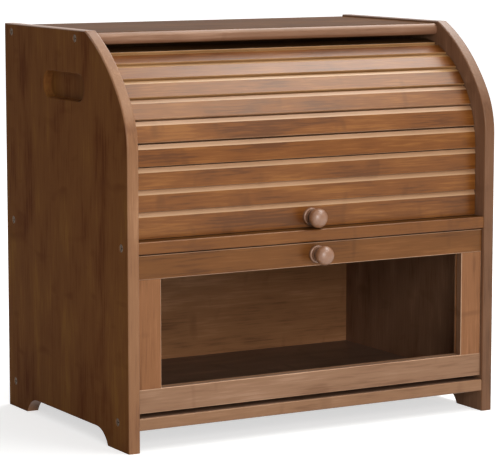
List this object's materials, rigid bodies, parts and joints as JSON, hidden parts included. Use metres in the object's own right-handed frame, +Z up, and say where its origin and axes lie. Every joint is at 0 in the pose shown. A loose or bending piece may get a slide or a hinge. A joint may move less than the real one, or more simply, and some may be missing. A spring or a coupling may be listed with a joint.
{
  "type": "bread box",
  "caption": "Two-tier dark-stained bamboo bread box: slatted roll-top above, glazed drop-front door below, turned wood knobs, finger recesses in the sides and arched feet.",
  "frame": {"origin": "middle of the bounding box on the surface that the feet stand on; the box is centred in depth with its knobs included", "axes": "+X to the right seen from the front, +Y to the back, +Z up; the front with the knobs faces -Y"},
  "size_m": [0.38, 0.2672, 0.36],
  "materials": {
    "bamboo_boards": "satin, dark stained bamboo board, upright grain on the sides",
    "bamboo_backs": "satin, dark stained thin bamboo panel",
    "bamboo_slats": "satin, dark stained bamboo, grain along the slat",
    "bamboo_door": "satin, dark stained bamboo, grain along each member",
    "turned_knobs": "satin, dark stained turned wood",
    "plain_wood": "unfinished wood",
    "clear_pane": "clear polished sheet",
    "screw_steel": "plated steel",
    "magnet_nickel": "nickel plate",
    "canvas": "plain woven cotton"
  },
  "bodies": {
    "cabinet": {"left_side_panel": "bamboo_boards", "right_side_panel": "bamboo_boards", "top_panel": "bamboo_boards", "middle_shelf": "bamboo_boards", "bottom_panel": "bamboo_boards", "upper_back_panel": "bamboo_backs", "lower_back_panel": "bamboo_backs", "cabinet_screws": "screw_steel", "catch_blocks": "plain_wood", "catch_magnets": "magnet_nickel", "catch_block_screws": "screw_steel", "hinge_pins": "screw_steel"},
    "door": {"door_top_rail": "bamboo_door", "door_bottom_rail": "bamboo_door", "door_left_stile": "bamboo_door", "door_right_stile": "bamboo_door", "door_dowels": "plain_wood", "window_pane": "clear_pane", "strike_plates": "screw_steel", "strike_screws": "screw_steel", "door_knob": "turned_knobs", "door_knob_screw": "screw_steel"},
    "curtain": {"slat_04": "bamboo_slats", "slat_05": "bamboo_slats", "slat_06": "bamboo_slats", "slat_07": "bamboo_slats", "slat_08": "bamboo_slats", "slat_09": "bamboo_slats", "slat_10": "bamboo_slats", "curtain_cloth": "canvas"},
    "curtain_slat_3": {"slat_03": "bamboo_slats", "slat_03_cloth": "canvas"},
    "curtain_slat_2": {"slat_02": "bamboo_slats", "slat_02_cloth": "canvas"},
    "curtain_slat_1": {"slat_01": "bamboo_slats", "slat_01_cloth": "canvas", "roll_top_knob": "turned_knobs", "roll_top_knob_screw": "screw_steel"}
  },
  "joints": [
    {"name": "roll_top", "type": "hinge", "parent": "cabinet", "child": "curtain", "pos_m": [0, -0.00195, 0.245], "axis": [-1, 0, 0], "range_deg": [0, 98]},
    {"name": "slat_3_bend", "type": "hinge", "parent": "curtain", "child": "curtain_slat_3", "pos_m": [0, -0.09495, 0.245], "axis": [1, 0, 0], "range_deg": [0, 5.92]},
    {"name": "slat_2_bend", "type": "hinge", "parent": "curtain_slat_3", "child": "curtain_slat_2", "pos_m": [0, -0.09495, 0.2258], "axis": [1, 0, 0], "range_deg": [0, 11.85]},
    {"name": "slat_1_bend", "type": "hinge", "parent": "curtain_slat_2", "child": "curtain_slat_1", "pos_m": [0, -0.09495, 0.2066], "axis": [1, 0, 0], "range_deg": [0, 13.12]},
    {"name": "door_hinge", "type": "hinge", "parent": "cabinet", "child": "door", "pos_m": [0, -0.10755, 0.0391], "axis": [1, 0, 0], "range_deg": [0, 95.5]}
  ],
  "couplings": [
    {"joint": "slat_3_bend", "follows": "roll_top", "ratio": 0.060458},
    {"joint": "slat_2_bend", "follows": "roll_top", "ratio": 0.12092},
    {"joint": "slat_1_bend", "follows": "roll_top", "ratio": 0.13389}
  ]
}
